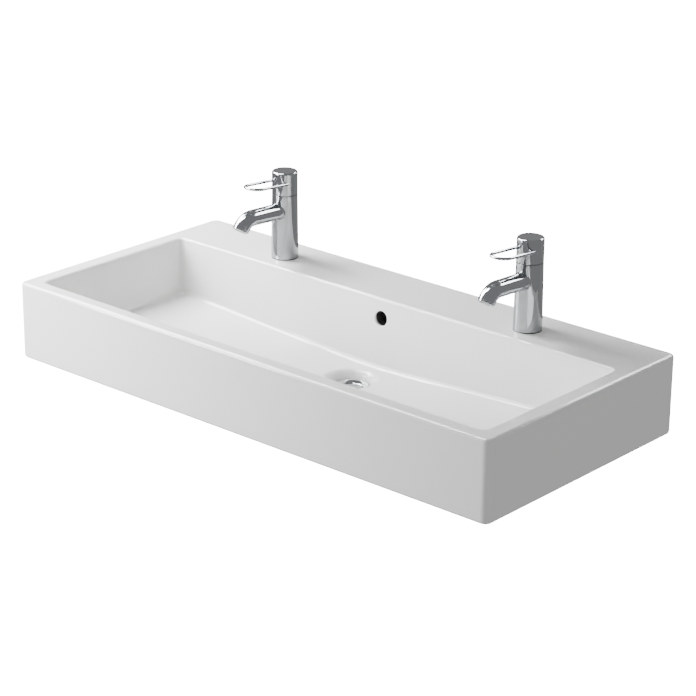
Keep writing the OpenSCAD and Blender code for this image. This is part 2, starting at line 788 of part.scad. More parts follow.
module grub_plug() {
    color(grey_plastic) intersection() {
        translate([0, cap_bore_r, grub_h]) rotate([-90, 0, 0]) cylinder(r = grub_hole_r - slip, h = cap_t);
        translate([0, 0, grub_h - 2 * grub_hole_r]) cylinder(r = neck_r - slip, h = 4 * grub_hole_r);
    }
}

// Places a piece of the waste, with the origin on the ceramic seat under the flange
module at_waste() {
    translate([0, -drain_back, seat_z]) children();
}

module waste_body() {
    color(chrome) at_waste() difference() {
        union() {
            rotate_extrude() difference() {
                polygon([
                    [waste_bore_r, tail_end], [tail_r, tail_end], [tail_r, tail_end + tail_l],
                    [relief_r, tail_end + tail_l], [relief_r, thread_split], [tail_r, thread_split], [tail_r, -neck_l],
                    [neck_waste_r, -neck_l], [neck_waste_r, 0], [neck_waste_r + flange_z, flange_z],
                    [flange_r, flange_z], [flange_r, flange_z + flange_t / 2],
                    [flange_r - flange_t / 2, flange_top], [waste_bore_r, flange_top]]);
                polygon([
                    [0, ledge_z], [recess_r, ledge_z], [recess_r, flange_top - cone_t],
                    [flange_r - 3, flange_top], [flange_r - 3, flange_top + over], [0, flange_top + over]]);
            }
            translate([0, 0, hub_top - hub_h]) {
                cylinder(r = hub_r, h = hub_h);
                for (turn = [90:120:330])
                    rotate(turn) translate([0, -2, 0]) cube([waste_bore_r + over, 4, hub_h]);
            }
        }
        translate([0, 0, hub_top - hub_h - over]) cylinder(r = sleeve_r + slip, h = hub_h + 2 * over);
        for (turn = [45:90:315])
            rotate(turn) translate([waste_bore_r - over, -5, -chamber_t - chamber_h + over])
                cube([tail_r, 10, chamber_h - 2 * over]);
    }
}

// Flat ring of the waste, from radius inner to radius outer
module ring(inner, outer, z, h) {
    translate([0, 0, z]) difference() {
        cylinder(r = outer, h = h);
        translate([0, 0, -over]) cylinder(r = inner, h = h + 2 * over);
    }
}

module waste_upper_seal() {
    color(rubber) at_waste() ring(neck_waste_r + flange_z + 0.2, flange_r - 1, 0, upper_seal_t);
}

module waste_lower_gasket() {
    color(rubber) at_waste() ring(tail_r + slip, chamber_r, -seat_depth - gasket_t, gasket_t);
}

module waste_washer() {
    color(white_plastic) at_waste() ring(tail_r + slip, chamber_r, -seat_depth - gasket_t - washer_t, washer_t);
}

module waste_backnut() {
    bottom = -seat_depth - gasket_t - washer_t - backnut_h;
    color(brass) at_waste() difference() {
        ring(tail_r + slip, backnut_r, bottom, backnut_h);
        for (turn = [0:45:315])
            rotate(turn) translate([backnut_r + 1, 0, bottom - over]) cylinder(r = 4, h = backnut_h - 2);
    }
}

module plug_cap() {
    dome_r = (pow(plug_r, 2) + pow(plug_dome, 2)) / (2 * plug_dome);
    color(chrome) at_waste() translate([0, 0, plug_z]) rotate_extrude() {
        square([plug_r, plug_t]);
        translate([0, plug_t + plug_dome - dome_r]) intersection() {
            circle(dome_r, $fn = 256);
            translate([0, dome_r - plug_dome - plug_t / 2]) square([plug_r, plug_dome + plug_t]);
        }
    }
}

module plug_seal() {
    color(rubber) at_waste() ring(plug_r - 5.5, recess_r - 2, plug_z - 1.4, 1.4);
}

module plug_stem() {
    color(brass) at_waste() {
        translate([0, 0, piston_z]) {
            cylinder(r = plug_stem_r, h = plug_z - piston_z);
            cylinder(r = sleeve_bore_r - run_gap, h = piston_t);
        }
        translate([0, 0, piston_z - 10]) cylinder(r = plug_stem_r - 1, h = 10 + piston_t / 2);
    }
}

module click_sleeve() {
    color(brass) at_waste() difference() {
        union() {
            translate([0, 0, sleeve_bottom]) cylinder(r = sleeve_r, h = sleeve_top - sleeve_bottom);
            translate([0, 0, hub_top]) cylinder(r = hub_r - 0.5, h = 2);
        }
        translate([0, 0, sleeve_bottom + 2])
            cylinder(r = sleeve_bore_r, h = sleeve_top - sleeve_neck_t - sleeve_bottom - 2);
        translate([0, 0, sleeve_bottom + 2])
            cylinder(r = plug_stem_r + run_gap, h = sleeve_top - sleeve_bottom);
    }
}

// The coil's outer shape, between the sleeve's floor and the stem's piston
module click_spring() {
    floor_z = sleeve_bottom + 2 + slip;
    color(steel) at_waste() ring(plug_stem_r - 0.8, sleeve_bore_r - 0.3, floor_z, piston_z - slip - floor_z);
}

basin();
at_mixer(-1) mixer_body();  // left_body
at_mixer(-1) base_seal();  // left_base_seal
at_mixer(-1) stud();  // left_stud
at_mixer(-1) clamp_gasket();  // left_clamp_gasket
at_mixer(-1) clamp_plate();  // left_clamp_plate
at_mixer(-1) clamp_nut();  // left_clamp_nut
at_mixer(-1) aerator_housing();  // left_aerator_housing
at_mixer(-1) aerator_insert();  // left_aerator_insert
at_mixer(-1) port_seals();  // left_port_seals
at_mixer(-1) cartridge_base();  // left_cartridge_base
at_mixer(-1) fixed_disc();  // left_fixed_disc
at_mixer(-1) cartridge_housing();  // left_cartridge_housing
at_mixer(-1) retaining_nut();  // left_retaining_nut
at_mixer(-1) carrier();  // left_carrier
at_mixer(-1) pivot_pin();  // left_pivot_pin
at_mixer(-1) moving_disc();  // left_moving_disc
at_mixer(-1) disc_carrier();  // left_disc_carrier
at_mixer(-1) stem();  // left_stem
at_mixer(-1) cap();  // left_cap
at_mixer(-1) loop_handle();  // left_loop_handle
at_mixer(-1) grub_screw();  // left_grub_screw
at_mixer(-1) grub_plug();  // left_grub_plug
at_mixer(1) mixer_body();  // right_body
at_mixer(1) base_seal();  // right_base_seal
at_mixer(1) stud();  // right_stud
at_mixer(1) clamp_gasket();  // right_clamp_gasket
at_mixer(1) clamp_plate();  // right_clamp_plate
at_mixer(1) clamp_nut();  // right_clamp_nut
at_mixer(1) aerator_housing();  // right_aerator_housing
at_mixer(1) aerator_insert();  // right_aerator_insert
at_mixer(1) port_seals();  // right_port_seals
at_mixer(1) cartridge_base();  // right_cartridge_base
at_mixer(1) fixed_disc();  // right_fixed_disc
at_mixer(1) cartridge_housing();  // right_cartridge_housing
at_mixer(1) retaining_nut();  // right_retaining_nut
at_mixer(1) carrier();  // right_carrier
at_mixer(1) pivot_pin();  // right_pivot_pin
at_mixer(1) moving_disc();  // right_moving_disc
at_mixer(1) disc_carrier();  // right_disc_carrier
at_mixer(1) stem();  // right_stem
at_mixer(1) cap();  // right_cap
at_mixer(1) loop_handle();  // right_loop_handle
at_mixer(1) grub_screw();  // right_grub_screw
at_mixer(1) grub_plug();  // right_grub_plug
waste_body();
waste_upper_seal();
waste_lower_gasket();
waste_washer();
waste_backnut();
plug_cap();
plug_seal();
plug_stem();
click_sleeve();
click_spring();
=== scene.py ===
import json
import math
import bpy
from mathutils import Matrix, Vector


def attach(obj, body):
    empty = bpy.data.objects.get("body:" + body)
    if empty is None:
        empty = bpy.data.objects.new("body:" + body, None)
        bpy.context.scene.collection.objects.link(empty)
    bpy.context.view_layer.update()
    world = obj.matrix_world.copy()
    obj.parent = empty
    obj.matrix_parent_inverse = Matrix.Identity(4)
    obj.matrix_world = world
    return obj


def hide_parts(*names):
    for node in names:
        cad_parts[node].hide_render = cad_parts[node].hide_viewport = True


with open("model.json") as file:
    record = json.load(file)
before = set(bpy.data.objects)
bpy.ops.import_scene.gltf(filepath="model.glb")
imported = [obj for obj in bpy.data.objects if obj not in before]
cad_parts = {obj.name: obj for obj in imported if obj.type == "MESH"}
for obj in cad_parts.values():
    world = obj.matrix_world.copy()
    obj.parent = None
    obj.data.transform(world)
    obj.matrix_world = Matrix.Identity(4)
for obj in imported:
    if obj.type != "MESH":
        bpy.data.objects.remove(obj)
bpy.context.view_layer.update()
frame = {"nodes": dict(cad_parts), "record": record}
nodes = frame["nodes"]
mm = 0.001  # every size below is in millimetres, as in the CAD
print("frame loaded,", len(nodes), "CAD nodes")


def deselectAll():
    if bpy.context.object and bpy.context.object.mode != "OBJECT":
        bpy.ops.object.mode_set(mode="OBJECT")
    bpy.ops.object.select_all(action="DESELECT")


def makeActive(piece):
    deselectAll()
    piece.select_set(True)
    bpy.context.view_layer.objects.active = piece


def settle(name):  # names what was just added and puts its place into its mesh
    piece = bpy.context.object
    piece.name = name
    piece.data.name = name
    bpy.ops.object.transform_apply(location=True, rotation=True, scale=True)
    return piece


def placeBy(piece, matrix):  # turns and moves a piece, and puts that into its mesh
    makeActive(piece)
    piece.matrix_world = matrix
    bpy.ops.object.transform_apply(location=True, rotation=True, scale=True)


def addBlock(name, low, high):
    deselectAll()
    size = [(b - a) * mm for a, b in zip(low, high)]
    middle = [(a + b) / 2 * mm for a, b in zip(low, high)]
    bpy.ops.mesh.primitive_cube_add(size=1, location=middle, scale=size)
    return settle(name)


def addRod(name, start, end, radius, sides=64):  # a cylinder from one point to another
    deselectAll()
    a, b = Vector(start) * mm, Vector(end) * mm
    turn = (b - a).to_track_quat("Z", "Y").to_euler()
    bpy.ops.mesh.primitive_cylinder_add(
        vertices=sides, radius=radius * mm, depth=(b - a).length, location=(a + b) / 2, rotation=turn)
    return settle(name)


def uprightRod(name, x, y, span, radius, sides=64):  # span is its foot and its top
    return addRod(name, (x, y, span[0]), (x, y, span[1]), radius, sides)


def levelRod(name, x, z, span, radius, sides=64):  # lies along the depth; span is where it starts and ends
    return addRod(name, (x, span[0], z), (x, span[1], z), radius, sides)


def pick(piece, kind, test):  # selects by place or normal, then stays in edit mode
    makeActive(piece)
    bpy.context.tool_settings.mesh_select_mode = (kind == "VERT", kind == "EDGE", kind == "FACE")
    mesh = piece.data
    for items in (mesh.vertices, mesh.edges, mesh.polygons):
        items.foreach_set("select", [False] * len(items))
    items = {"VERT": mesh.vertices, "EDGE": mesh.edges, "FACE": mesh.polygons}[kind]
    found = 0
    for item in items:
        if kind == "EDGE":
            item.select = bool(test(*[mesh.vertices[i].co / mm for i in item.vertices]))
        elif kind == "VERT":
            item.select = bool(test(item.co / mm))
        else:
            item.select = bool(test(item.center / mm, item.normal))
        found += item.select
    bpy.ops.object.mode_set(mode="EDIT")
    return found


def near(a, b, gap=0.01):
    return abs(a - b) < gap


def bevelPicked(width, segments):
    bpy.ops.mesh.bevel(offset=width * mm, segments=segments, affect="EDGES")


def carve(target, tool, operation="DIFFERENCE"):
    cutter = target.modifiers.new("shape", "BOOLEAN")
    cutter.operation = operation
    cutter.solver = "EXACT"
    cutter.object = tool
    makeActive(target)
    bpy.ops.object.modifier_apply(modifier=cutter.name)
    bpy.data.objects.remove(tool)


def joinPieces(target, *others):
    deselectAll()
    for piece in others + (target,):
        piece.select_set(True)
    bpy.context.view_layer.objects.active = target
    bpy.ops.object.join()
    return target


def faceOutwards(piece):
    makeActive(piece)
    bpy.ops.object.mode_set(mode="EDIT")
    bpy.ops.mesh.select_all(action="SELECT")
    bpy.ops.mesh.remove_doubles(threshold=0.002 * mm)
    bpy.ops.mesh.normals_make_consistent(inside=False)
    bpy.ops.object.mode_set(mode="OBJECT")


def smooth(piece, angle):  # edges that turn by more than the angle stay sharp
    makeActive(piece)
    bpy.ops.object.shade_smooth_by_angle(angle=math.radians(angle))
    weigh = piece.modifiers.new("evenNormals", "WEIGHTED_NORMAL")
    weigh.keep_sharp = True
    bpy.ops.object.modifier_apply(modifier=weigh.name)


def startRing(name, radius, location, rotation, sides):  # an open circle, selected and ready to be drawn out
    deselectAll()
    bpy.ops.mesh.primitive_circle_add(
        vertices=sides, radius=radius * mm, location=location, rotation=rotation)
    piece = settle(name)
    bpy.ops.object.mode_set(mode="EDIT")
    bpy.ops.mesh.select_mode(type="EDGE")
    bpy.ops.mesh.select_all(action="SELECT")
    return piece


def turned(name, centre, rings, sides):
    # a circle drawn up and resized from ring to ring, each a (radius, height), and closed at both ends
    x, y, z = [c * mm for c in centre]
    radius, height = rings[0]
    piece = startRing(name, radius, (x, y, z + height * mm), (0, 0, 0), sides)
    for nextRadius, nextHeight in rings[1:]:
        rise = (nextHeight - height) * mm
        bpy.ops.mesh.extrude_edges_move(TRANSFORM_OT_translate={"value": (0, 0, rise)})
        if nextRadius != radius:
            scale = nextRadius / radius
            bpy.ops.transform.resize(value=(scale, scale, 1), center_override=(x, y, z + nextHeight * mm))
        radius, height = nextRadius, nextHeight
    if rings[0] != rings[-1]:
        for radius, height in (rings[0], rings[-1]):
            pickRing(piece, centre, radius, height)
            bpy.ops.mesh.edge_face_add()
    faceOutwards(piece)
    return piece


def pickRing(piece, centre, radius, height):
    x, y, z = centre

    def onRing(*ends):
        around = all(near(math.hypot(p.x - x, p.y - y), radius) for p in ends)
        return around and all(near(p.z - z, height) for p in ends)
    return pick(piece, "EDGE", onRing)


def bevelRing(piece, centre, radius, height, width, segments):
    if pickRing(piece, centre, radius, height):
        bevelPicked(width, segments)
    bpy.ops.object.mode_set(mode="OBJECT")


def copyTo(piece, name, shift):  # a copy with its own mesh
    makeActive(piece)
    bpy.ops.object.duplicate()
    twin = bpy.context.object
    twin.name = name
    twin.data.name = name
    twin.location = Vector(shift) * mm
    bpy.ops.object.transform_apply(location=True, rotation=True, scale=True)
    return twin


basin = {
    "half": 500, "depth": 470, "top": 84, "foot": -50,
    "cornerRadius": 13, "topEdge": 6, "footEdge": 6,
    "skirt": 10, "rear": 12, "deck": 12, "innerRadius": 6,
    "joinTop": 78,          # what is joined on under the deck ends here, inside the deck
    "cutTop": 96,           # and what is cut down from above starts here
    "bowlHalf": 468, "bowlFront": -442, "bowlBack": -120, "wallTop": 79, "lip": 4.8,
    "lean": 0.148,          # how far a bowl wall comes in for each millimetre down
    "floorMiddle": -35.1, "floorSlope": 0.056,
    "ridgeHalf": 90,        # the two slopes of the floor run into each other over this distance
    "floorColumns": (0, 22, 45, 68, 90, 200, 330),      # where it is cut across, to either side, and bent
    "dishSides": 128, "drainSides": 96, "wallHoleSides": 48,   # how many sides the round forms have
    "bowlRadius": 10, "floorBevel": 8.7,
    "skin": 10, "skinBevel": 8,     # the bowl wall's thickness, and how much rounder it is below, outside
    "drainY": -197, "seat": -52, "drainHole": 23, "drainSpan": (-90, -30),
    "dish": [(34, 0), (34.9, 3.2), (36.8, 8.2), (39, 12), (41, 14.2), (43.2, 15.8), (45.8, 16.8),
             (48.8, 17.7), (52, 18.6), (52, 40)],
    "boss": [(44, -84), (44, -52), (52.5, -35)],
    "chamber": 34, "chamberSpan": (-74, -62),   # the ring of water round the waste
    "ductShellHalf": 21, "ductShellY": (-128, -84), "ductLow": -84,
    "ductHalf": 13, "ductY": (-107.5, -92), "ductTop": 64,
    "overflowRadius": 12.5, "overflowHeight": 49.5, "overflowEdge": 2, "overflowSpan": (-150, -100),
    "overflowMouth": -118,  # the hole's outer end lies in front of this
    "waterway": ((0, -106.5, -5), (13.4, 15, 70)),  # the middle and half size of the overflow's waterway
    "shadeFade": (-123.0, -118.5),  # the painted shade in the overflow hole fades in over this stretch, going inwards
    "bareBehind": -1.5, "bareBelow": -48.5,     # no glaze on the wall side and the foot
    "tapX": 263, "tapY": -72, "tapHole": 17.5, "tapSpan": (60, 100),
    "wallHoleX": 140, "wallHole": 7, "wallHoleSpan": (-40, 10), "wallBoss": 20, "wallBossSpan": (-6, -24),
}


def floorHeight(x):  # two slopes that meet in a soft valley over the waste
    v, soft = basin, basin["ridgeHalf"]
    x = abs(x)
    if x < soft:
        x = (x * x / soft + soft) / 2
    return v["floorMiddle"] + v["floorSlope"] * (x - soft / 2)


def bowlBlock(name, grow, rounder, wallTop, top):  # the bowl's hollow, or grown, the outside of its wall
    v = basin
    half, front, back = v["bowlHalf"] + grow, v["bowlFront"] - grow, v["bowlBack"] + grow
    floor = floorHeight(v["bowlHalf"]) - grow
    piece = addBlock(name, (-half, front, floor), (half, back, wallTop))
    middleY, deep = (front + back) / 2, (back - front) / 2
    inset = v["lean"] * (wallTop - floor)
    floorHalf = half - inset
    pick(piece, "FACE", lambda c, n: n.z < -0.9)
    bpy.ops.transform.resize(
        value=(floorHalf / half, (deep - inset) / deep, 1), center_override=(0, middleY * mm, floor * mm))
    pick(piece, "FACE", lambda c, n: n.z > 0.9)
    bpy.ops.mesh.extrude_region_move(TRANSFORM_OT_translate={"value": (0, 0, (top - wallTop) * mm)})
    for x in {side * column for column in v["floorColumns"] for side in (-1, 1)}:
        bpy.ops.mesh.select_all(action="SELECT")
        bpy.ops.mesh.bisect(plane_co=(x * mm, 0, 0), plane_no=(1, 0, 0))
    bpy.ops.object.mode_set(mode="OBJECT")
    columns = sorted({round(p.co.x / mm, 2) for p in piece.data.vertices if near(p.co.z / mm, floor)})
    for x in columns:
        pick(piece, "VERT", lambda p: near(p.x, x) and near(p.z, floor))
        bpy.ops.transform.translate(value=(0, 0, (floorHeight(x) - grow - floor) * mm))

    def onCorner(a, b):  # the four corners that stand up, and none of the floor's columns
        return abs(a.z - b.z) > 3 and all(abs(p.x) > floorHalf - 2 for p in (a, b))
    pick(piece, "EDGE", onCorner)
    bevelPicked(v["bowlRadius"] + grow, 10)

    def onFloorLoop(a, b):
        across = near(a.x, b.x) and abs(a.y - b.y) > deep and abs(a.x) < floorHalf - 20
        return not across and all(p.z < floorHeight(p.x) - grow + 0.5 for p in (a, b))
    pick(piece, "EDGE", onFloorLoop)
    bevelPicked(v["floorBevel"] + rounder, 8)
    faceOutwards(piece)
    return piece


def joinBasinShell(body):  # the thin shell under the deck, with all that hangs from it
    v = basin
    hollow = addBlock("hollow", (v["skirt"] - v["half"], v["skirt"] - v["depth"], v["foot"] - 10),
                      (v["half"] - v["skirt"], -v["rear"], v["top"] - v["deck"]))
    pick(hollow, "EDGE", lambda a, b: abs(a.z - b.z) > 100 or (a.z > 60 and b.z > 60))
    bevelPicked(v["innerRadius"], 4)
    carve(body, hollow)
    skin = bowlBlock("bowlSkin", v["skin"], v["skinBevel"], v["top"] - v["deck"], v["joinTop"])
    carve(body, skin, "UNION")
    half, low, (front, back) = v["ductShellHalf"], v["ductLow"], v["ductShellY"]
    carve(body, addBlock("ductBack", (-half, front, low), (half, back, v["joinTop"])), "UNION")
    carve(body, addBlock("ductFoot", (-half, v["drainY"], low), (half, back, v["seat"])), "UNION")
    carve(body, turned("drainBoss", (0, v["drainY"], 0), v["boss"], v["drainSides"]), "UNION")
    for side in (-1, 1):
        boss = levelRod("wallBoss", side * v["wallHoleX"], 0, v["wallBossSpan"], v["wallBoss"])
        carve(body, boss, "UNION")


def cutBasinHoles(body):
    v = basin
    y, half, (front, back) = v["drainY"], v["ductHalf"], v["ductY"]
    low, high = v["chamberSpan"]
    carve(body, turned("dish", (0, y, v["seat"]), v["dish"], v["dishSides"]))
    carve(body, uprightRod("drain", 0, y, v["drainSpan"], v["drainHole"], v["drainSides"]))
    carve(body, addBlock("duct", (-half, front, low), (half, back, v["ductTop"])))
    carve(body, addBlock("ductRun", (-half, y, low), (half, back, high)))
    carve(body, uprightRod("chamber", 0, y, v["chamberSpan"], v["chamber"], v["drainSides"]))
    carve(body, levelRod("overflowHole", 0, v["overflowHeight"], v["overflowSpan"], v["overflowRadius"]))

    def onMouth(*ends):
        around = all(near(math.hypot(p.x, p.z - v["overflowHeight"]), v["overflowRadius"], 0.1) for p in ends)
        return around and all(p.y < v["overflowMouth"] for p in ends)
    print("overflow edges", pick(body, "EDGE", onMouth))
    bevelPicked(v["overflowEdge"], 5)
    for side in (-1, 1):
        carve(body, uprightRod("tapHole", side * v["tapX"], v["tapY"], v["tapSpan"], v["tapHole"]))
        x, span = side * v["wallHoleX"], v["wallHoleSpan"]
        carve(body, levelRod("wallHole", x, 0, span, v["wallHole"], v["wallHoleSides"]))


def buildBasin():
    v = basin
    body = addBlock("washbasinCeramic", (-v["half"], -v["depth"], v["foot"]), (v["half"], 0, v["top"]))
    pick(body, "EDGE", lambda a, b: abs(a.z - b.z) > 100)
    bevelPicked(v["cornerRadius"], 8)
    pick(body, "EDGE", lambda a, b: near(a.z, v["top"]) and near(b.z, v["top"]))
    bevelPicked(v["topEdge"], 8)
    pick(body, "EDGE", lambda a, b: near(a.z, v["foot"]) and near(b.z, v["foot"]))
    bevelPicked(v["footEdge"], 3)
    joinBasinShell(body)
    print("basin: outside and skin joined")
    carve(body, bowlBlock("bowlHollow", 0, 0, v["wallTop"], v["cutTop"]))

    def withinBowl(p, spare):  # inside the bowl's rim, grown by spare
        across = abs(p.x) < v["bowlHalf"] + spare
        return across and v["bowlFront"] - spare < p.y < v["bowlBack"] + spare

    def onLip(*ends):
        rim = all(near(p.z, v["top"]) and withinBowl(p, 0.5) for p in ends)
        return rim and not all(withinBowl(p, -20) for p in ends)
    print("lip edges", pick(body, "EDGE", onLip))
    bevelPicked(v["lip"], 8)
    bpy.ops.object.mode_set(mode="OBJECT")
    print("basin: bowl cut and its lip rounded")
    cutBasinHoles(body)
    faceOutwards(body)
    smooth(body, 32)
    return body


washbasin = buildBasin()
print("basin:", len(washbasin.data.polygons), "faces")


mixer = {
    "place": (-263, -72, 84),
    "foot": 1, "footRadius": 23.7, "footChamfer": 0.8,
    "joint": 114, "neck": 22.2,
    "neckEdge": ((0, 0.6), (0.16, 0.25)),         # how far in, and how far under the joint
    "pivot": 108, "ball": 22.996, "ballRadii": (21.9, 21.4, 20.8, 20.1, 19.3),
    "nutRadius": 18.4, "nutFloor": 114.9, "pocketRadius": 17.6, "pocket": 88,
    "pocketRoom": 0.1, "pocketSpan": (60, 110),   # the spout's root is cut back to leave the pocket free
    "holeStart": -5,
    "inletX": 8, "inletY": 5, "inletRadius": 4.55, "inletTop": 13,
    "studY": -10, "studRadius": 4.05, "studTop": 15,
    "spoutHeight": 84.6, "spoutRise": 3, "spoutRadius": 14.2, "spoutLength": 82,
    "flare": [(12, 16), (18.4, 16), (19.6, 15.5), (21, 15.05), (22.6, 14.7), (24.4, 14.42), (26.4, 14.25),
              (28.4, 14.2)],  # how far out, and how wide, where the spout leaves the body
    "bendRadius": 29, "bendTurn": 59, "spoutEnd": 2, "endEdge": (0.5, 0.35), "mouth": 12, "mouthDepth": 7,
    "aerator": 13.6, "aeratorBore": 10.45, "aeratorSlip": 0.05, "aeratorSeam": 0.4, "aeratorLength": 3,
    "aeratorEdges": (0.3, 0.6, 0.5),    # chamfers at the seam, at the outer edge and round the bore
    "capTop": 155, "capEdge": 3, "capBore": 19.6, "capCavity": 146,
    "capBall": 23.296, "capBallRadii": (20.3, 21, 21.6),
    "loopHeight": 135, "loopRise": 4.5, "loopHalf": 17.5, "loopReach": 72.5, "loopStart": 7, "rod": 2.6,
    "grubHeight": 139, "grubHole": 3.1, "grubSpan": (15, 30),
    # the black ring in the joint: a glide ring, and also painted shade for the shadow in the joint's gap
    "glideAndShadow": [(22.06, 113.85), (22.11, 114.4), (21.94, 115.05), (21.66, 115.9), (21.3, 116.8), (20.9, 117.7)],
    "glideAndShadowThick": 0.3,
    # how many sides the round forms have, and steps the two bends
    "sides": 128, "spoutSides": 72, "aeratorSides": 96, "holeSides": 40, "rodSides": 28,
    "bendSteps": 20, "loopSteps": 32,
}


def ballRings(ball, pivot, radii):  # where a ball round the pivot has these radii
    return [(r, pivot + math.sqrt(ball * ball - r * r)) for r in radii]


def drawRing(shift, scale=1, centre=None):  # draws the selected ring along and then resizes it
    bpy.ops.mesh.extrude_edges_move(TRANSFORM_OT_translate={"value": shift})
    if scale != 1:
        bpy.ops.transform.resize(value=(scale, scale, scale), center_override=centre)


def tiltedAxes(rise):  # forwards and upwards, when forwards rises by this many degrees
    turn = math.radians(rise)
    return Vector((0, -math.cos(turn), math.sin(turn))), Vector((0, math.sin(turn), math.cos(turn)))


def ringAcross(name, point, direction, radius, sides):  # a ring square to a direction, to be drawn along it
    return startRing(name, radius, point, direction.to_track_quat("Z", "Y").to_euler(), sides)


def closeEnd(piece, test):
    bpy.ops.object.mode_set(mode="OBJECT")
    pick(piece, "VERT", test)
    bpy.ops.mesh.edge_face_add()
    faceOutwards(piece)


def buildSpout():
    v = mixer
    foot = (Vector(v["place"]) + Vector((0, 0, v["spoutHeight"]))) * mm
    along, up = tiltedAxes(v["spoutRise"])
    rootReach, radius = v["flare"][0]
    reach = rootReach
    spout = ringAcross("leftSpout", foot + along * reach * mm, along, radius, v["spoutSides"])
    for nextReach, nextRadius in v["flare"][1:] + [(v["spoutLength"], v["spoutRadius"])]:
        drawRing(along * (nextReach - reach) * mm, nextRadius / radius, foot + along * nextReach * mm)
        reach, radius = nextReach, nextRadius
    bendCentre = foot + along * v["spoutLength"] * mm - up * v["bendRadius"] * mm
    turn = math.radians(v["bendTurn"])
    bpy.ops.mesh.spin(steps=v["bendSteps"], angle=turn, center=bendCentre, axis=(-1, 0, 0))
    out, up = tiltedAxes(v["spoutRise"] - v["bendTurn"])
    end = bendCentre + up * v["bendRadius"] * mm + out * v["spoutEnd"] * mm
    drawRing(out * v["spoutEnd"] * mm)
    edge, lead = v["endEdge"]
    for lip, on in ((v["spoutRadius"] - edge, lead), (v["mouth"], 0)):  # rounds the end, then draws it in
        drawRing(out * on * mm, lip / radius, end + out * on * mm)
        radius = lip
    drawRing(-out * v["mouthDepth"] * mm)
    bpy.ops.mesh.edge_face_add()

    def onRoot(p):
        inward = p * mm - foot
        return inward.dot(along) < (rootReach + 0.1) * mm and inward.length < 30 * mm
    closeEnd(spout, onRoot)
    return spout, end, out


def buildBody():
    v = mixer
    x, y, z = v["place"]
    foot, chamfer = v["foot"], v["footChamfer"]
    profile = [(v["footRadius"] - chamfer, foot), (v["footRadius"], foot + chamfer)]
    profile += [(v["neck"] - inward, v["joint"] - under) for inward, under in v["neckEdge"]]
    profile += ballRings(v["ball"], v["pivot"], v["ballRadii"] + (v["nutRadius"],))
    profile += [(v["nutRadius"], v["nutFloor"]), (v["pocketRadius"], v["nutFloor"])]
    profile += [(v["pocketRadius"], v["pocket"])]
    body = turned("leftMixerBody", v["place"], profile, v["sides"])
    start, sides = z + v["holeStart"], v["holeSides"]
    for side in (-1, 1):
        at, span = (x + side * v["inletX"], y + v["inletY"]), (start, z + v["inletTop"])
        carve(body, uprightRod("inlet", *at, span, v["inletRadius"], sides))
    span = (start, z + v["studTop"])
    carve(body, uprightRod("studHole", x, y + v["studY"], span, v["studRadius"], sides))
    spout, end, out = buildSpout()
    span = [z + height for height in v["pocketSpan"]]
    carve(spout, uprightRod("pocketRoom", x, y, span, v["pocketRadius"] + v["pocketRoom"], v["sides"]))
    smooth(body, 30)
    smooth(spout, 30)
    return joinPieces(body, spout), end, out


def buildCap():
    v = mixer
    x, y, z = v["place"]
    profile = [(v["capBore"], v["capCavity"])]
    profile += ballRings(v["capBall"], v["pivot"], (v["capBore"], *v["capBallRadii"], v["neck"]))
    profile += [(v["neck"], v["capTop"])]
    cap = turned("leftCap", v["place"], profile, v["sides"])
    bevelRing(cap, v["place"], v["neck"], v["capTop"], v["capEdge"], 8)
    span = [y + reach for reach in v["grubSpan"]]
    carve(cap, levelRod("grubHole", x, z + v["grubHeight"], span, v["grubHole"], v["holeSides"]))
    smooth(cap, 30)
    return cap


def buildLoop():  # one rod, out along one side, round the end and back along the other
    v = mixer
    along, up = tiltedAxes(v["loopRise"])
    middle = Vector(v["place"]) * mm + Vector((0, 0, v["loopHeight"])) * mm
    start = middle + Vector((-v["loopHalf"], 0, 0)) * mm + along * v["loopStart"] * mm
    straight = along * (v["loopReach"] - v["loopStart"]) * mm
    loop = ringAcross("leftLoopHandle", start, along, v["rod"], v["rodSides"])
    drawRing(straight)
    bendCentre = middle + along * v["loopReach"] * mm
    bpy.ops.mesh.spin(steps=v["loopSteps"], angle=math.pi, center=bendCentre, axis=-up)
    drawRing(-straight)
    bpy.ops.mesh.edge_face_add()
    closeEnd(loop, lambda p: (p * mm - start).length < (v["rod"] + 0.1) * mm)
    smooth(loop, 30)
    return loop


def buildAerator(end, out):  # a threaded ring, screwed into the spout's mouth
    v = mixer
    thread, bore, seam = v["mouth"] - v["aeratorSlip"], v["aeratorBore"], v["aeratorSeam"]
    length, outer, deep = v["aeratorLength"], v["aerator"], -v["mouthDepth"]
    low, high, inner = v["aeratorEdges"]
    ring = turned("leftAerator", (0, 0, 0), [
        (bore, deep), (thread, deep), (thread, seam), (outer - low, seam), (outer, seam + low),
        (outer, length - high), (outer - high, length), (bore + inner, length), (bore, length - inner),
        (bore, deep)], v["aeratorSides"])
    placeBy(ring, Matrix.Translation(end) @ out.to_track_quat("Z", "X").to_matrix().to_4x4())
    smooth(ring, 30)
    return ring


def buildGlideAndShadowRing():  # a black glide ring on which the cap turns and tilts; its dark tone is also painted shade for the shadow in the joint's gap
    v = mixer
    inner = [(r - v["glideAndShadowThick"], h) for r, h in v["glideAndShadow"]]
    ring = turned("leftGlideRing", v["place"], v["glideAndShadow"] + inner[::-1] + v["glideAndShadow"][:1], v["sides"])
    smooth(ring, 40)
    return ring


body, end, out = buildBody()
glideAndShadowRing = buildGlideAndShadowRing()
leftPieces = [body, buildCap(), buildLoop(), buildAerator(end, out), glideAndShadowRing]
across = (2 * basin["tapX"], 0, 0)
rightPieces = [copyTo(piece, piece.name.replace("left", "right"), across) for piece in leftPieces]
print("mixers built:", [p.name for p in leftPieces])

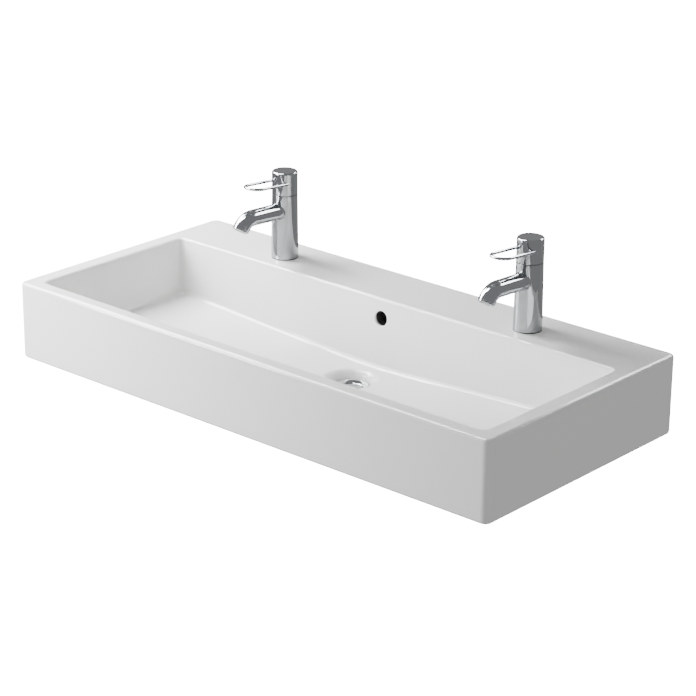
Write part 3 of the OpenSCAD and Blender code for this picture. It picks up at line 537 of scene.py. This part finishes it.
waste = {
    "place": (0, -197, -52),
    "bore": 17, "tail": 20.95, "tailEnd": -79, "tailChamfer": 1, "split": -49, "relief": 3, "reliefDepth": 1,
    "neck": 22.8, "neckLength": 5, "seal": 1.5, "flange": 32,
    "flangeEdge": [(0.3, 1.5), (0, 1.8), (0, 2.7), (0.3, 3.4), (0.9, 3.85), (1.7, 4)],  # how far in, how high
    "cone": [(29.5, 4), (28.3, 3.75), (21.3, 1.05), (20.6, 0.2)],   # the flange's dished inside
    "recess": 20.6, "ledge": -3.5, "ledgeChamfer": 0.4,
    "hubTop": -34, "hubLength": 10, "hub": 10.5, "hubBore": 8.25, "hubEdge": 0.8,
    "rib": 4, "ribs": 3, "ribBite": 1,      # how far a rib reaches into the hub and into the body
    "slotTop": -11, "slotFoot": -21, "slotWidth": 10, "slotReach": (16, 26), "slots": 4, "slotTurn": 45,
    "plug": 20, "plugEdge": [(0.5, -2), (0, -1.5), (0, -0.1), (0.25, 0.12)],
    "plugDome": 3, "domeRadii": (18.5, 16, 13, 10, 7, 4, 1.5),
    "sides": 128, "hubSides": 64,
}


def spread(turn):  # moves a piece to the waste, turned round its upright axis by so many degrees
    return Matrix.Translation(Vector(waste["place"]) * mm) @ Matrix.Rotation(math.radians(turn), 4, "Z")


def buildWaste():
    v = waste
    place = v["place"]
    split, tail, end, inner = v["split"], v["tail"], v["tailEnd"], v["tail"] - v["reliefDepth"]
    chamfer, ledgeChamfer = v["tailChamfer"], v["ledgeChamfer"]
    profile = [(v["bore"], end), (tail - chamfer, end), (tail, end + chamfer)]
    profile += [(tail, split - v["relief"]), (inner, split - v["relief"]), (inner, split), (tail, split)]
    profile += [(tail, -v["neckLength"]), (v["neck"], -v["neckLength"]), (v["neck"], 0)]
    profile += [(v["neck"] + v["seal"], v["seal"])]
    profile += [(v["flange"] - inward, height) for inward, height in v["flangeEdge"]] + v["cone"]
    profile += [(v["recess"], v["ledge"]), (v["bore"] + ledgeChamfer, v["ledge"])]
    profile += [(v["bore"], v["ledge"] - ledgeChamfer), (v["bore"], end)]
    body = turned("wasteBody", place, profile, v["sides"])
    slotStart, slotEnd = v["slotReach"]
    halfSlot = v["slotWidth"] / 2
    for count in range(v["slots"]):  # they let the overflow's water in
        slot = addBlock("slot", (slotStart, -halfSlot, v["slotFoot"]), (slotEnd, halfSlot, v["slotTop"]))
        placeBy(slot, spread(v["slotTurn"] + count * 360 / v["slots"]))
        carve(body, slot)
    foot, top = v["hubTop"] - v["hubLength"], v["hubTop"]
    bore, outer = v["hubBore"], v["hub"]
    profile = [(bore, foot), (outer, foot), (outer, top), (bore, top), (bore, foot)]
    hub = turned("hub", place, profile, v["hubSides"])
    bevelRing(hub, place, outer, foot, v["hubEdge"], 3)
    ribStart, ribEnd = outer - v["ribBite"], v["bore"] + v["ribBite"]
    for count in range(v["ribs"]):  # they carry the hub in the bore
        rib = addBlock("rib", (ribStart, -v["rib"] / 2, foot), (ribEnd, v["rib"] / 2, top))
        placeBy(rib, spread(count * 360 / v["ribs"]))
        carve(hub, rib, "UNION")
    smooth(body, 30)
    smooth(hub, 30)
    return joinPieces(body, hub)


def buildPlug():
    v = waste
    edge, dome = v["plug"], v["plugDome"]
    profile = [(edge - inward, height) for inward, height in v["plugEdge"]]
    profile += [(radius, dome - dome * (radius / edge) ** 2) for radius in v["domeRadii"]]
    plug = turned("plugCap", v["place"], profile, v["sides"])
    smooth(plug, 40)
    return plug


wasteBody = buildWaste()
plugCap = buildPlug()
print("waste built")

# what each new piece rides on, what it stands for and whose finish it takes
pieces = [(washbasin, "fixed", ["basin"], "glaze"), (wasteBody, "fixed", ["waste_body"], "chrome"),
          (plugCap, "plug", ["plug_cap"], "chrome")]
for side, group in (("left", leftPieces), ("right", rightPieces)):
    body, cap, loop, aerator, glideAndShadowRing = group
    lever = side + "_lever"
    pieces += [(body, "fixed", [side + "_body"], "chrome"),
               (aerator, "fixed", [side + "_aerator_housing"], "chrome"),
               (cap, lever, [side + "_cap"], "chrome"),
               (loop, lever, [side + "_loop_handle"], "chrome"),
               # the black glide ring, also painted shade for the shadow in the cap's joint
               (glideAndShadowRing, "fixed", [], "rubber")]
for piece, bodyName, replaced, slotName in pieces:
    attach(piece, bodyName)
    if replaced:
        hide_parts(*replaced)


def toLinear(channel):
    return channel / 12.92 if channel <= 0.04045 else ((channel + 0.055) / 1.055) ** 2.4


def hexColour(code):
    return tuple(toLinear(int(code[i:i + 2], 16) / 255) for i in (1, 3, 5)) + (1,)


def addNode(owner, kind, values={}, links={}, **settings):  # links maps a socket to an output
    node = owner.node_tree.nodes.new("ShaderNode" + kind)
    for name, value in settings.items():
        setattr(node, name, value)
    for socket, value in values.items():
        node.inputs[socket].default_value = value
    for socket, source in links.items():
        owner.node_tree.links.new(source, node.inputs[socket])
    return node


def startMaterial(name):
    material = bpy.data.materials.new(name)
    material.use_nodes = True
    material.node_tree.nodes.clear()
    return material, addNode(material, "TexCoord").outputs["Object"]


def finishMaterial(material, values, links):
    shader = addNode(material, "BsdfPrincipled", values, links)
    addNode(material, "OutputMaterial", links={"Surface": shader.outputs[0]})
    return material


def glazedVitreousChina():
    # white body under a thick fired glaze: a soft, slightly wavy gloss; bare and matt where it touched the
    # kiln shelf and the wall, and painted dark grey inside the overflow's waterway as painted shade for its
    # unlit depth
    material, place = startMaterial("glazedVitreousChina")
    axes = addNode(material, "SeparateXYZ", links={0: place})
    behind, below = basin["bareBehind"] * mm, basin["bareBelow"] * mm
    back = addNode(material, "Math", {1: behind}, {0: axes.outputs["Y"]}, operation="GREATER_THAN")
    foot = addNode(material, "Math", {1: below}, {0: axes.outputs["Z"]}, operation="LESS_THAN")
    bare = addNode(material, "Math", links={0: back.outputs[0], 1: foot.outputs[0]}, operation="MAXIMUM")
    # painted shade: a dark grey inside the overflow's waterway, fading in along the hole, stands in for the
    # shade in its depth
    # the waterway is a box: the largest share of its half size, on any axis, is under 1 inside it
    middle, half = basin["waterway"]
    shift = addNode(material, "VectorMath", {1: Vector(middle) * mm}, {0: place}, operation="SUBTRACT")
    share = addNode(material, "VectorMath", {1: Vector(half) * mm}, {0: shift.outputs[0]}, operation="DIVIDE")
    size = addNode(material, "VectorMath", links={0: share.outputs[0]}, operation="ABSOLUTE")
    sides = addNode(material, "SeparateXYZ", links={0: size.outputs[0]})
    wide = addNode(material, "Math", links={0: sides.outputs[0], 1: sides.outputs[1]}, operation="MAXIMUM")
    reach = addNode(material, "Math", links={0: wide.outputs[0], 1: sides.outputs[2]}, operation="MAXIMUM")
    inside = addNode(material, "Math", {1: 1}, {0: reach.outputs[0]}, operation="LESS_THAN")
    start, end = [y * mm for y in basin["shadeFade"]]
    shadeRamp = addNode(material, "MapRange", {"From Min": start, "From Max": end}, {"Value": axes.outputs["Y"]})
    paintedShade = addNode(material, "Math", links={0: inside.outputs[0], 1: shadeRamp.outputs[0]}, operation="MULTIPLY")
    # 110 mm clouds of firing, 2.5 mm orange peel and grit, and 45 mm waves of the dipped glaze
    cloud = addNode(material, "TexNoise", {"Scale": 1 / (110 * mm), "Detail": 2}, {"Vector": place})
    fine = addNode(material, "TexNoise", {"Scale": 1 / (2.5 * mm), "Detail": 3}, {"Vector": place})
    wave = addNode(material, "TexNoise", {"Scale": 1 / (45 * mm), "Detail": 1}, {"Vector": place})
    glaze = addNode(material, "Mix", {6: hexColour("#F9F9F7"), 7: hexColour("#F6F7F6")},
                    {0: cloud.outputs[0]}, data_type="RGBA")
    body = addNode(material, "Mix", {7: hexColour("#DEDBD3")},
                   {0: bare.outputs[0], 6: glaze.outputs[2]}, data_type="RGBA")
    # the dark grey of the painted shade
    colour = addNode(material, "Mix", {7: hexColour("#454341")},
                     {0: paintedShade.outputs[0], 6: body.outputs[2]}, data_type="RGBA")
    gloss = addNode(material, "MapRange", {"To Min": 0.05, "To Max": 0.09}, {"Value": fine.outputs[0]})
    roughness = addNode(material, "Mix", {3: 0.62},
                        {0: bare.outputs[0], 2: gloss.outputs[0]}, data_type="FLOAT")
    peel = addNode(material, "Bump", {"Strength": 0.06, "Distance": 0.05 * mm}, {"Height": fine.outputs[0]})
    relief = addNode(material, "Bump", {"Strength": 0.25, "Distance": 0.8 * mm},
                     {"Height": wave.outputs[0], "Normal": peel.outputs[0]})
    return finishMaterial(material, {"IOR": 1.52}, {
        "Base Color": colour.outputs[2], "Roughness": roughness.outputs[0], "Normal": relief.outputs[0]})


def polishedChrome():
    # bright chrome over polished brass: mirror-like and a little cool, with a faint haze of smears 16 mm wide
    material, place = startMaterial("polishedChrome")
    haze = addNode(material, "TexNoise", {"Scale": 1 / (16 * mm), "Detail": 4}, {"Vector": place})
    gloss = addNode(material, "MapRange", {"To Min": 0.035, "To Max": 0.08}, {"Value": haze.outputs[0]})
    tone = addNode(material, "Mix", {6: hexColour("#A6A8AB"), 7: hexColour("#9FA2A5")},
                   {0: haze.outputs[0]}, data_type="RGBA")
    return finishMaterial(material, {"Metallic": 1}, {
        "Base Color": tone.outputs[2], "Roughness": gloss.outputs[0]})


def ringedMetal(name, light, dark, pitch, depth, rough):
    # a turned or threaded metal: rings round the upright axis at a real pitch, under stains about 5 mm wide
    material, place = startMaterial(name)
    waveScale = math.pi / 10 / (pitch * mm)  # gives one band for every pitch
    rings = addNode(material, "TexWave", {"Scale": waveScale, "Distortion": 0.0}, {"Vector": place},
                    wave_type="BANDS", bands_direction="Z", wave_profile="SIN")
    stain = addNode(material, "TexNoise", {"Scale": 1 / (5 * mm), "Detail": 3}, {"Vector": place})
    tone = addNode(material, "Mix", {6: hexColour(light), 7: hexColour(dark)},
                   {0: stain.outputs[0]}, data_type="RGBA")
    gloss = addNode(material, "MapRange", {"To Min": rough, "To Max": rough + 0.15},
                    {"Value": stain.outputs[0]})
    relief = addNode(material, "Bump", {"Strength": 0.8, "Distance": depth * mm},
                     {"Height": rings.outputs[1]})
    return finishMaterial(material, {"Metallic": 1}, {
        "Base Color": tone.outputs[2], "Roughness": gloss.outputs[0], "Normal": relief.outputs[0]})


def mouldedMatter(name, light, dark, rough, grain, depth):
    # rubber, plastic or lapped ceramic: a fine even grain, with soft clouds of tone about 14 mm wide
    material, place = startMaterial(name)
    fine = addNode(material, "TexNoise", {"Scale": 1 / (grain * mm), "Detail": 3}, {"Vector": place})
    cloud = addNode(material, "TexNoise", {"Scale": 1 / (14 * mm), "Detail": 2}, {"Vector": place})
    tone = addNode(material, "Mix", {6: hexColour(light), 7: hexColour(dark)},
                   {0: cloud.outputs[0]}, data_type="RGBA")
    gloss = addNode(material, "MapRange", {"To Min": rough - 0.08, "To Max": rough + 0.08},
                    {"Value": fine.outputs[0]})
    relief = addNode(material, "Bump", {"Strength": 0.4, "Distance": depth * mm}, {"Height": fine.outputs[0]})
    return finishMaterial(material, {}, {
        "Base Color": tone.outputs[2], "Roughness": gloss.outputs[0], "Normal": relief.outputs[0]})


china = glazedVitreousChina()
chrome = polishedChrome()

# colours, then the pitch of the rings, their depth and the least roughness
# brass: fine lathe marks, warm yellow; plated steel: rolled plate, slightly blue and cloudy
# threaded steel: an M8 thread of 1.25 mm; spring steel: turns of the spring, 3 mm apart
turnedBrass = ringedMetal("turnedBrass", "#D9BE7C", "#B8995A", 0.4, 0.02, 0.22)
zincPlatedSteel = ringedMetal("zincPlatedSteel", "#C9CCD2", "#A9ADB4", 2.0, 0.01, 0.3)
threadedSteel = ringedMetal("threadedSteel", "#BFC2C6", "#8E9297", 1.25, 0.5, 0.28)
springSteel = ringedMetal("springSteel", "#B5B8BD", "#7F8388", 3.0, 0.8, 0.3)

# colours, then the middle roughness, the size of the grain and its depth
# rubber: black, dull, a little dusty; grey plastic: waxy, slightly mottled; white plastic: milky and waxy
# alumina: cream, flat and nearly polished
epdmRubber = mouldedMatter("epdmRubber", "#232324", "#161617", 0.62, 0.6, 0.03)
greyAcetal = mouldedMatter("greyAcetal", "#9AA0A5", "#868C92", 0.42, 0.5, 0.02)
whiteAcetal = mouldedMatter("whiteAcetal", "#ECEBE7", "#DCDBD6", 0.4, 0.5, 0.02)
lappedAlumina = mouldedMatter("lappedAlumina", "#E6E1D5", "#D6D0C2", 0.18, 0.3, 0.003)

slotMaterials = {
    "glaze": china, "chrome": chrome, "brass": turnedBrass, "steel": zincPlatedSteel, "rubber": epdmRubber,
    "grey_plastic": greyAcetal, "white_plastic": whiteAcetal, "disc_ceramic": lappedAlumina}


def dress(piece, material):
    if not piece.material_slots:
        piece.data.materials.append(material)
    for place in piece.material_slots:
        place.material = material


for part in frame["record"]["subparts"]:
    dress(nodes[part["node"]], slotMaterials[part["material_slot"]])
for name, piece in nodes.items():
    if name.endswith("_stud") or name.endswith("_grub_screw"):
        dress(piece, threadedSteel)
dress(nodes["click_spring"], springSteel)
for piece, bodyName, replaced, slotName in pieces:
    dress(piece, slotMaterials[slotName])
print("materials set")

studio = {
    "floor": -0.8, "floorSize": 60,  # in metres, as everything in the studio
    # even grey walls of light, with a black cloth low behind the basin that edges the chrome
    "walls": 0.42, "cloth": 0.01, "clothTowards": (-0.60, 0.64, -0.48), "clothEdge": (0.80, 0.90),
    "lampAim": (0, -0.2, 0),
    # place, size and power in watts
    "lamps": {"leftBack": ((-0.9, -0.2, 0.8), (0.5, 0.5), 33),
              "leftFront": ((-0.8, -1.2, 0.35), (0.45, 0.45), 30)},
    # strips that only gloss and chrome show: they draw the bright lines along the rounded edges
    "strips": {"leftStrip": ((-1.1, -0.7, 1.5), (0.45, 2.2), 180),
               "backStrip": ((0.33, 1.89, 1.6), (2.0, 0.5), 60)},
    "camera": (2.3992, -2.9384, 1.4152), "target": (0.10898, -0.32863, 0.084), "roll": 0.0089614,
    "lens": 123.75, "sensor": 36, "farthest": 200,
}


def paintedFloor():
    # a matt white painted studio floor, lit until it burns out to plain white, with the faintest unevenness
    material, place = startMaterial("mattWhitePaint")
    cloud = addNode(material, "TexNoise", {"Scale": 1 / (700 * mm), "Detail": 2}, {"Vector": place})
    tone = addNode(material, "Mix", {6: hexColour("#FFFFFF"), 7: hexColour("#FDFDFD")},
                   {0: cloud.outputs[0]}, data_type="RGBA")
    return finishMaterial(material, {"Roughness": 0.9, "Specular IOR Level": 0.0, "Emission Strength": 20}, {
        "Base Color": tone.outputs[2], "Emission Color": tone.outputs[2]})


deselectAll()
bpy.ops.mesh.primitive_plane_add(size=studio["floorSize"], location=(0, 0, studio["floor"]))
floor = settle("floor")
dress(floor, paintedFloor())
floor.visible_diffuse = False  # the floor is only seen: it lights nothing and isn't mirrored in the chrome
floor.visible_glossy = False
floor.visible_shadow = False


def addSoftLight(name, place, size, power):
    light = bpy.data.lights.new(name, "AREA")
    light.shape = "RECTANGLE"
    light.size, light.size_y = size
    light.energy = power
    lamp = bpy.data.objects.new(name, light)
    lamp.location = place
    lamp.rotation_euler = (Vector(studio["lampAim"]) - Vector(place)).to_track_quat("-Z", "Y").to_euler()
    lamp.visible_camera = False
    bpy.context.scene.collection.objects.link(lamp)
    return lamp


for name, (place, size, power) in studio["lamps"].items():
    addSoftLight(name, place, size, power)
for name, (place, size, power) in studio["strips"].items():
    addSoftLight(name, place, size, power).visible_diffuse = False

world = bpy.data.worlds.new("softSky")
world.use_nodes = True
world.node_tree.nodes.clear()
direction = addNode(world, "TexCoord").outputs["Generated"]
towards = addNode(world, "VectorMath", {1: studio["clothTowards"]}, {0: direction}, operation="DOT_PRODUCT")
edgeStart, edgeEnd = studio["clothEdge"]
strength = addNode(world, "MapRange", {
    "From Min": edgeStart, "From Max": edgeEnd, "To Min": studio["walls"], "To Max": studio["cloth"]},
    {"Value": towards.outputs["Value"]})
sky = addNode(world, "Background", {"Color": hexColour("#FFFFFF")}, {"Strength": strength.outputs[0]})
addNode(world, "OutputWorld", links={"Surface": sky.outputs[0]})
bpy.context.scene.world = world

lens = bpy.data.cameras.new("photoCamera")
lens.lens = studio["lens"]
lens.sensor_width = studio["sensor"]
lens.clip_end = studio["farthest"]
camera = bpy.data.objects.new("photoCamera", lens)
camera.location = studio["camera"]
aim = (Vector(studio["target"]) - camera.location).to_track_quat("-Z", "Y")
camera.rotation_euler = (aim.to_matrix() @ Matrix.Rotation(studio["roll"], 3, "Z")).to_euler()
bpy.context.scene.collection.objects.link(camera)
bpy.context.scene.camera = camera
print("floor, lights and camera set")
